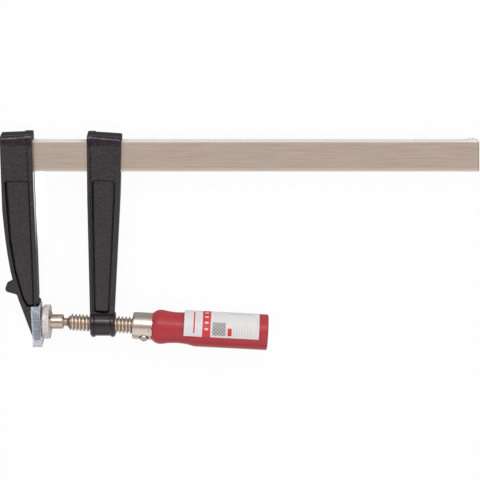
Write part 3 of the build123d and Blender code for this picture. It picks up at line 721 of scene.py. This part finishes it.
def thread_profile():
    """One pitch of the thread, from crest centre to crest centre: (distance, radius)."""
    flank_end = CREST_HALF + FLANK
    return [
        (0, CREST_RADIUS),
        (CREST_HALF - SOFT, CREST_RADIUS),
        (CREST_HALF + SOFT_RUN, CREST_RADIUS - SOFT),
        (flank_end - SOFT_RUN, ROOT_RADIUS + SOFT),
        (flank_end + SOFT, ROOT_RADIUS),
        (THREAD_PITCH / 2, ROOT_RADIUS),
        (THREAD_PITCH - flank_end - SOFT, ROOT_RADIUS),
        (THREAD_PITCH - flank_end + SOFT_RUN, ROOT_RADIUS + SOFT),
        (THREAD_PITCH - CREST_HALF - SOFT_RUN, CREST_RADIUS - SOFT),
        (THREAD_PITCH - CREST_HALF + SOFT, CREST_RADIUS),
    ]


def screw_envelope(t):
    """The largest radius that the screw has at t: a cone at the neck and a step at the tang."""
    if t < CONE_END:
        share = max(0.0, (t - NECK_END) / (CONE_END - NECK_END))
        return NECK_RADIUS + share * (CREST_RADIUS - NECK_RADIUS)
    if t > THREAD_END - THREAD_STEP:
        return TANG_RADIUS
    return CREST_RADIUS


def thread_rows(build):
    """Helical rows of points, one for each place in the profile on each turn, held between neck and tang."""
    first_turn = int(NECK_END / THREAD_PITCH) - SPARE_TURNS
    last_turn = int(THREAD_END / THREAD_PITCH) + SPARE_TURNS
    rows = []
    for turn in range(first_turn, last_turn):
        for offset, radius in thread_profile():
            row = []
            for column in range(SCREW_COLUMNS):
                t = turn * THREAD_PITCH + offset + THREAD_PITCH * column / SCREW_COLUMNS
                t = min(max(t, NECK_END), THREAD_END)
                row.append(ring_point(build, t, min(radius, screw_envelope(t)), column, SCREW_COLUMNS))
            rows.append(row)
    return rows


def add_thread(build):
    """A right-hand thread: its rows side by side, each turn's end joined to the start of the next."""
    rows = thread_rows(build)
    rows_per_turn = len(thread_profile())
    for low, high in zip(rows, rows[1:]):
        for column in range(SCREW_COLUMNS - 1):
            build.faces.new((low[column], low[column + 1], high[column + 1], high[column]))
    for index in range(len(rows) - rows_per_turn - 1):
        low, high = rows[index], rows[index + 1]
        next_low, next_high = rows[index + rows_per_turn], rows[index + rows_per_turn + 1]
        build.faces.new((low[-1], next_low[0], next_high[0], high[-1]))


def ball_profile():
    """From the ball's front to the end of the neck: (distance, radius)."""
    end_angle = pi - asin(NECK_RADIUS / BALL_RADIUS)
    points = []
    for step in range(BALL_STEPS + 1):
        angle = end_angle * step / BALL_STEPS
        points.append((-BALL_RADIUS * cos(angle), BALL_RADIUS * sin(angle)))
    points.append((NECK_END, NECK_RADIUS))
    return points


def make_spindle_screw():
    """Ball, neck, right-hand thread and tang as one closed surface."""
    build = bmesh.new()
    add_thread(build)
    lathe(build, ball_profile(), SCREW_COLUMNS)
    lathe(build, [(THREAD_END, TANG_RADIUS), (TANG_END, TANG_RADIUS), (TANG_END, 0)], SCREW_COLUMNS)
    mesh = finish_mesh(build, "spindle_screw", spindle_matrix())
    piece = new_object("spindle_screw", mesh, "spindle", sharp_angle=50)
    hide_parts("spindle")
    return piece


def make_grip():
    """Turned wooden grip: nose in the ferrule, bulge, waist and plain body, with its hole for the tang."""
    points = [(NOSE_START, TANG_RADIUS), (NOSE_START, NOSE_RADIUS), (SHOULDER[0], NOSE_RADIUS)]
    points += arc(SHOULDER, BULGE, BULGE_RISE_ARC)
    points += arc(BULGE, WAIST_START, BULGE_FALL_ARC)[1:]
    points += arc(WAIST_START, (COVE_END, GRIP_RADIUS), -WAIST_ARC, count=24)[1:]
    edge_start, edge_end = (GRIP_END - GRIP_EDGE, GRIP_RADIUS), (GRIP_END, GRIP_RADIUS - GRIP_EDGE)
    points += arc(edge_start, edge_end, GRIP_EDGE, count=6)
    points += [(GRIP_END, 0), (TANG_END, 0), (TANG_END, TANG_RADIUS)]
    piece = turned_piece("turned_grip", points, spindle_matrix(), "spindle", closed=True)
    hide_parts("handle")
    return piece


def make_pin():
    """Cross pin with a domed head in front and one behind that is filed flush."""
    dome_radius = (PIN_HEAD_RADIUS**2 + PIN_DOME**2) / (2 * PIN_DOME)
    points = [(-PIN_FLUSH, 0), (-PIN_FLUSH, PIN_HEAD_RADIUS), (-PIN_SEAT, PIN_HEAD_RADIUS)]
    points += [(-PIN_SEAT, PIN_SHANK_RADIUS), (PIN_SEAT, PIN_SHANK_RADIUS), (PIN_SEAT, PIN_HEAD_RADIUS)]
    points += arc((PIN_TOP - PIN_DOME, PIN_HEAD_RADIUS), (PIN_TOP, 0), dome_radius)
    place = spindle_matrix() @ Matrix.Translation((PIN_AT, 0, 0))
    place = place @ Matrix.Rotation(PIN_ANGLE, 4, "X") @ Matrix.Rotation(-pi / 2, 4, "Y")
    piece = turned_piece("domed_pin", points, place, "spindle", columns=48)
    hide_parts("cross_pin")
    return piece


def make_pad_cap():
    """Round soft cap on the swivel pad, open at the back."""
    edge_start = (PAD_CAP_START, PAD_CAP_RADIUS - PAD_CAP_EDGE)
    edge_end = (PAD_CAP_START + PAD_CAP_EDGE, PAD_CAP_RADIUS)
    points = [(PAD_CAP_START, 0)] + arc(edge_start, edge_end, PAD_CAP_EDGE, count=8)
    points += [(PAD_CAP_END, PAD_CAP_RADIUS), (PAD_CAP_END, PAD_CAP_MOUTH), (PAD_DISC_END, PAD_CAP_MOUTH)]
    points += [(PAD_DISC_END, PAD_DISC_RADIUS), (PAD_CAP_START + PAD_CAP_FACE, PAD_DISC_RADIUS)]
    points += [(PAD_CAP_START + PAD_CAP_FACE, 0)]
    piece = turned_piece("round_pad_cap", points, Matrix.Identity(4), "pad")
    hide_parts("swivel_pad_cap")
    return piece


def rim_end(column):
    """Where the lacquer's ragged edge lies in that column, along the spindle."""
    angle = 2 * pi * column / RIM_COLUMNS
    spot = Vector((RIM_WAVES * cos(angle), RIM_WAVES * sin(angle), RIM_NOISE_LEVEL))
    return SHOULDER[0] - RIM_LEAST_RUN - RIM_MOST_RUN * shape_noise.noise(spot) ** 2


def make_lacquer_rim():
    """Lacquer that ran over the ferrule's end, with a ragged edge."""
    build = bmesh.new()
    rings = []
    for height, ragged in ((0, False), (RIM_THICKNESS, False), (RIM_EDGE_THICKNESS, True), (0, True)):
        radius = FERRULE_RADIUS - RIM_SUNK + height
        ring = []
        for column in range(RIM_COLUMNS):
            along = rim_end(column) if ragged else SHOULDER[0] + RIM_OVERLAP
            ring.append(ring_point(build, along, radius, column, RIM_COLUMNS))
        rings.append(ring)
    join_rings(build, rings, closed=True)
    piece = new_object("lacquer_rim", finish_mesh(build, "lacquer_rim", spindle_matrix()), "spindle")
    return piece


def label_grid(build, radius):
    """Points of one side of the sheet at that radius, column by column round the grip."""
    lines = []
    for column in range(LABEL_COLUMNS + 1):
        angle = LABEL_FIRST_ANGLE + (LABEL_LAST_ANGLE - LABEL_FIRST_ANGLE) * column / LABEL_COLUMNS
        line = []
        for row in range(LABEL_ROWS + 1):
            t = LABEL_START + (LABEL_END - LABEL_START) * row / LABEL_ROWS
            line.append(build.verts.new((t, radius * sin(angle), radius * cos(angle))))
        lines.append(line)
    return lines


def make_label_sheet():
    """The paper label as a thin closed sheet, with its own millimetres as texture coordinates."""
    outer = GRIP_RADIUS + LABEL_THICKNESS
    build = bmesh.new()
    sheet = build.loops.layers.uv.new("sheet")
    top, under = label_grid(build, outer), label_grid(build, GRIP_RADIUS + LABEL_GAP)

    def flat_place(column, row):
        """Millimetres along and across the flat sheet."""
        across = (LABEL_LAST_ANGLE - LABEL_FIRST_ANGLE) * column / LABEL_COLUMNS * outer
        return ((LABEL_END - LABEL_START) * row / LABEL_ROWS / MM, across / MM)

    for column in range(LABEL_COLUMNS):
        for row in range(LABEL_ROWS):
            corners = [(column, row), (column + 1, row), (column + 1, row + 1), (column, row + 1)]
            for lines, order in ((top, corners), (under, corners[::-1])):
                face = build.faces.new([lines[c][r] for c, r in order])
                for loop, (c, r) in zip(face.loops, order):
                    loop[sheet].uv = flat_place(c, r)
    for row in range(LABEL_ROWS):
        build.faces.new((top[0][row], top[0][row + 1], under[0][row + 1], under[0][row]))
        build.faces.new((top[-1][row + 1], top[-1][row], under[-1][row], under[-1][row + 1]))
    for column in range(LABEL_COLUMNS):
        build.faces.new((top[column + 1][0], top[column][0], under[column][0], under[column + 1][0]))
        build.faces.new((top[column][-1], top[column + 1][-1], under[column + 1][-1], under[column][-1]))
    piece = new_object("label_sheet", finish_mesh(build, "label_sheet", spindle_matrix()), "spindle")
    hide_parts("label")
    return piece


def paint(piece, material):
    """Gives a piece one material, whatever it had."""
    piece.data.materials.clear()
    piece.data.materials.append(material)


# Stage


def floor_strength(tree, rays):
    """A glow of 1 for the camera and through plastic; other rays see less, apart from a bright strip."""
    place = parts(tree, add(tree, "ShaderNodeNewGeometry").outputs["Position"])
    glow = profile(tree, place[1], *FLOOR_GLOW)
    across = profile(tree, place[0], *STRIP_ACROSS)
    along = profile(tree, place[1], *STRIP_ALONG)
    strip = compute(tree, "MULTIPLY", compute(tree, "MULTIPLY", across, along), STRIP_STRENGTH)
    straight = compute(tree, "MAXIMUM", rays["Is Camera Ray"], rays["Is Transmission Ray"])
    return compute(tree, "MAXIMUM", straight, compute(tree, "MAXIMUM", glow, strip))


def make_floor():
    """A white floor just under the clamp; it keeps a faint shadow."""
    low = cad_bounds[0].z - FLOOR_GAP
    bpy.ops.mesh.primitive_plane_add(size=FLOOR_SIZE, location=(*STAGE_MIDDLE, low))
    floor = bpy.context.object
    floor.name = "floor"
    material, tree, shader = new_material("floor_white")
    finish_shader(tree, shader, Base_Color=FLOOR_GREY, Roughness=0.9, Specular_IOR_Level=0.1)
    rays = add(tree, "ShaderNodeLightPath").outputs
    glow = add(tree, "ShaderNodeEmission", {"Color": WHITE, "Strength": floor_strength(tree, rays)})
    mirrored = compute(tree, "MAXIMUM", rays["Is Glossy Ray"], rays["Is Transmission Ray"])
    shown = compute(tree, "MULTIPLY", rays["Is Camera Ray"], SHOWN_TO_CAMERA)
    shown = compute(tree, "MAXIMUM", shown, mirrored)
    both = add(tree, "ShaderNodeMixShader", {0: shown, 1: shader.outputs[0], 2: glow.outputs[0]})
    tree.links.new(both.outputs[0], tree.nodes["Material Output"].inputs["Surface"])
    floor.data.materials.append(material)


def make_world():
    """A pale studio, bright on both sides of the clamp and dimmer overhead, where the camera stands."""
    world = bpy.data.worlds.new("studio")
    bpy.context.scene.world = world
    world.use_nodes = True
    tree = world.node_tree
    axes = parts(tree, add(tree, "ShaderNodeTexCoord").outputs["Generated"])
    angle = compute(tree, "ARCTAN2", axes[1], axes[2])
    share = compute(tree, "ADD", compute(tree, "DIVIDE", angle, 2 * pi), 0.5)
    sky = ramp(tree, share, *[(0.5 + degrees / 360, colour) for degrees, colour in SKY])
    background = tree.nodes["Background"]
    tree.links.new(sky, background.inputs["Color"])
    background.inputs["Strength"].default_value = 1.0


def make_softbox(name, place, aim, size, power, mirrored=True):
    """A rectangular studio lamp at place, turned towards aim; gloss may leave it out."""
    light = bpy.data.lights.new(name, "AREA")
    light.shape = "RECTANGLE"
    light.size, light.size_y = size
    light.energy = power
    lamp = bpy.data.objects.new(name, light)
    lamp.location = place
    lamp.visible_glossy = mirrored
    lamp.rotation_euler = (Vector(aim) - Vector(place)).to_track_quat("-Z", "Y").to_euler()
    bpy.context.scene.collection.objects.link(lamp)


def make_camera():
    """The camera at the photograph's viewing angle."""
    camera = bpy.data.cameras.new("camera")
    camera.sensor_width = CAMERA_SENSOR_mm
    camera.lens = CAMERA_LENS_mm
    camera.clip_end = CAMERA_SEES_TO
    holder = bpy.data.objects.new("camera", camera)
    holder.location = CAMERA_PLACE
    holder.rotation_euler = (-CAMERA_PITCH, 0, 0)
    bpy.context.scene.collection.objects.link(holder)
    bpy.context.scene.camera = holder


# Dress the frame

enamel = cast_paint()
lacquer = red_lacquer()
paint(nodes["fixed_arm"], enamel)
paint(nodes["sliding_arm"], enamel)
paint(nodes["bar"], bar_steel())
paint(nodes["fixed_jaw_cap"], ribbed_cap_plastic())
paint(make_pad_cap(), cap_plastic("pad_cap_plastic", PAD_CAP_TINT, clearness=0.58))
paint(nodes["swivel_pad"], turned_metal("pad_steel", PAD_DARK, PAD_LIGHT, rough=0.26, ring_depth_mm=0.003))
paint(nodes["pad_retaining_ring"], turned_metal("spring_steel", RETAINER_DARK, RETAINER_LIGHT, rough=0.3))
paint(nodes["ferrule"], ferrule_steel())
paint(make_pin(), turned_metal("pin_steel", PIN_DARK, PIN_LIGHT, rough=0.38))
paint(make_grip(), lacquer)
paint(make_lacquer_rim(), lacquer)
paint(make_spindle_screw(), screw_steel())
paint(make_label_sheet(), label_paper())

make_floor()
make_world()
make_softbox("key", place=(0.15, 1.13, 0.79), aim=(0.15, 0.08, 0), size=(1.6, 0.34), power=7.2)
overhead, below = (*STAGE_MIDDLE, 2.0), (*STAGE_MIDDLE, 0)
make_softbox("fill", place=overhead, aim=below, size=(1.2, 1.2), power=2, mirrored=False)
make_camera()
bpy.context.scene.view_settings.view_transform = "Standard"
